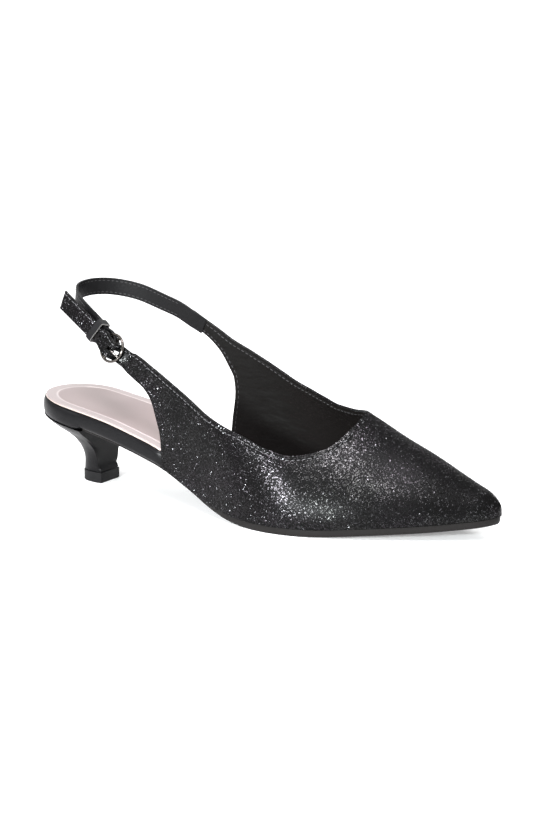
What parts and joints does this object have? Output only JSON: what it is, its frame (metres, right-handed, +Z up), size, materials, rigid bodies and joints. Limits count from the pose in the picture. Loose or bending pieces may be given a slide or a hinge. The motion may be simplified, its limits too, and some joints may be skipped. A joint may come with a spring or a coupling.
{
  "type": "slingback pump",
  "caption": "Right slingback pump with a pointed toe, low flared heel, ankle strap fastened by a round buckle and metallic insole.",
  "frame": {"origin": "middle of the heel's contact face on the floor", "axes": "+X towards the toe, +Y towards the inner side of the foot, +Z up"},
  "size_m": [0.259, 0.0744, 0.104],
  "materials": {
    "upper_leather": "black crinkled leather with a fine shimmer",
    "footbed_wrap": "smooth black leather",
    "sock_foil": "silver-rose metallic leather",
    "outsole_rubber": "matt black",
    "heel_wrap": "smooth black leather over a moulded heel",
    "top_piece_rubber": "matt black",
    "strap_leather": "smooth black leather",
    "keeper_leather": "smooth black leather",
    "buckle_metal": "dark polished nickel",
    "prong_metal": "dark polished nickel"
  },
  "bodies": {
    "root": {"outsole": "outsole_rubber", "footbed": "footbed_wrap", "insole_sock": "sock_foil", "heel": "heel_wrap", "top_piece": "top_piece_rubber", "upper": "upper_leather", "sling_strap": "strap_leather", "buckle_ring": "buckle_metal", "buckle_prong": "prong_metal", "keeper": "keeper_leather"}
  },
  "joints": []
}
